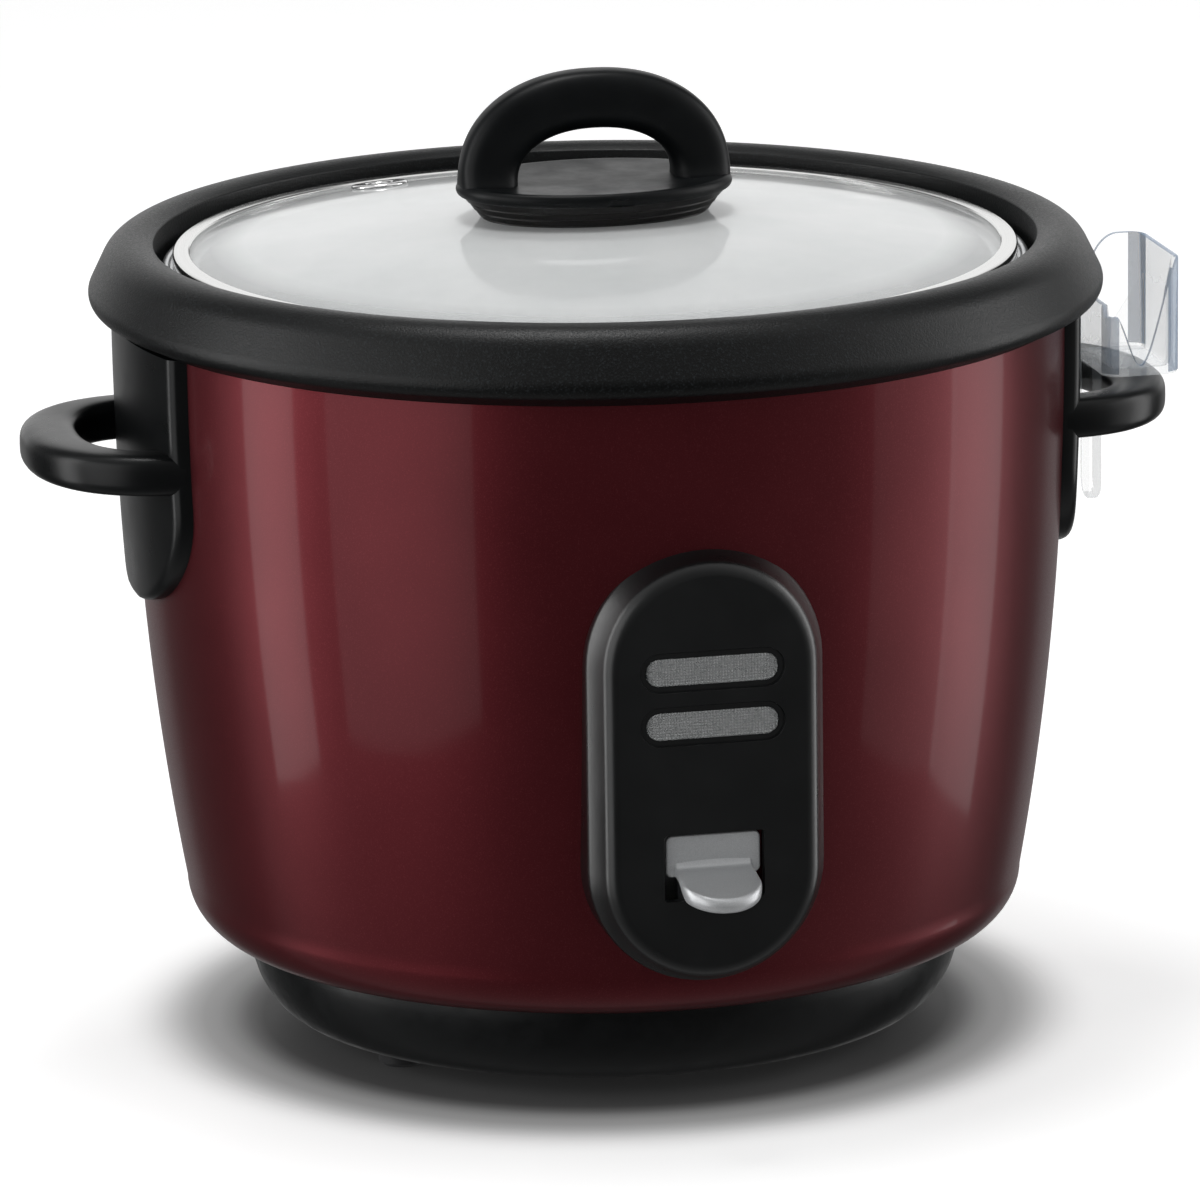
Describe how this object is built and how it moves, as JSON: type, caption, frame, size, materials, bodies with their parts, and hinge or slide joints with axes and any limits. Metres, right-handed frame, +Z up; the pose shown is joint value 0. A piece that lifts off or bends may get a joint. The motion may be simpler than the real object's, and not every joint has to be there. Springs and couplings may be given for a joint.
{
  "type": "rice cooker",
  "caption": "Round electric rice cooker with a glass lid, a lift-out pot, a front cook lever, side handles and a clip-on spoon holder.",
  "frame": {"origin": "on the surface that the feet stand on, on the vertical axis of the round body", "axes": "+Z up; -Y towards the front with the control panel and the lever; +X towards the spoon holder"},
  "size_m": [0.3023, 0.2742, 0.2503],
  "materials": {
    "shell_paint": "glossy burgundy paint",
    "black_plastic": "satin black, fine grain",
    "ring_plastic": "black with a fine sparkle",
    "lever_metal": "satin silver",
    "steel": "bright steel",
    "vent_chrome": "polished",
    "aluminium": "satin",
    "lid_glass": "clear tempered glass",
    "clear_plastic": "clear",
    "lens_plastic": "clear, finely ribbed",
    "lamp_glass": "amber neon lamp",
    "ivory_plastic": "ivory",
    "dark_plastic": "moulded black",
    "brown_plastic": "moulded brown",
    "ferrite": "dark grey",
    "element_sheath": "heat-darkened",
    "brass": "bright",
    "rubber": "black rubber",
    "white_seal": "translucent silicone",
    "sleeving": "woven glass sleeve",
    "wire_cover": "white silicone"
  },
  "bodies": {
    "housing": {"base_pan": "black_plastic", "feet": "rubber", "base_screws": "steel", "outer_shell": "shell_paint", "top_ring": "ring_plastic", "inner_liner": "aluminium", "left_handle": "black_plastic", "right_handle": "black_plastic", "handle_screws": "steel", "control_panel": "black_plastic", "panel_screws": "steel", "keep_warm_lens": "lens_plastic", "cook_lens": "lens_plastic", "lamp_holder": "ivory_plastic", "indicator_lamps": "lamp_glass", "heating_plate": "aluminium", "heating_element": "element_sheath", "plate_standoffs": "steel", "plate_screws": "steel", "thermostat_cup": "steel", "sensor_spring": "steel", "lever_bracket": "steel", "lever_pin": "steel", "microswitch": "dark_plastic", "thermal_fuse": "sleeving", "keep_warm_thermostat": "brown_plastic", "power_inlet": "dark_plastic", "inlet_pins": "brass", "inlet_screws": "steel", "inner_wiring": "wire_cover"},
    "pot": {"cooking_pot": "aluminium"},
    "lid": {"lid_glass": "lid_glass", "lid_band": "steel", "steam_vent": "vent_chrome", "knob_seat": "black_plastic", "lid_knob": "black_plastic", "knob_washer": "white_seal", "knob_screw": "steel"},
    "lever": {"switch_lever": "lever_metal"},
    "plunger": {"magnet_plunger": "ferrite"},
    "sensor": {"sensor_cap": "aluminium", "sensor_ferrite": "ferrite"},
    "spoon_rest": {"spoon_holder": "clear_plastic"}
  },
  "joints": [
    {"name": "pot_lift", "type": "slide", "parent": "housing", "child": "pot", "axis": [0, 0, 1], "range_m": [0, 0.16]},
    {"name": "lid_lift", "type": "slide", "parent": "pot", "child": "lid", "axis": [0, 0, 1], "range_m": [0, 0.06]},
    {"name": "lever_rock", "type": "hinge", "parent": "housing", "child": "lever", "pos_m": [0, -0.058, 0.036], "axis": [1, 0, 0], "range_deg": [0, 4], "stiffness_Nm_per_rad": 0.3, "springref_deg": -5.73},
    {"name": "plunger_slide", "type": "slide", "parent": "housing", "child": "plunger", "axis": [0, 0, 1], "range_m": [0, 0.0042]},
    {"name": "sensor_press", "type": "slide", "parent": "housing", "child": "sensor", "axis": [0, 0, 1], "range_m": [-0.002, 0], "stiffness_N_per_m": 400, "springref_m": 0.002, "deforming": ["sensor_spring"]},
    {"name": "holder_lift", "type": "slide", "parent": "housing", "child": "spoon_rest", "axis": [0, 0, 1], "range_m": [0, 0.06]}
  ],
  "couplings": [
    {"joint": "plunger_slide", "follows": "lever_rock", "m_per_rad": 0.058}
  ]
}
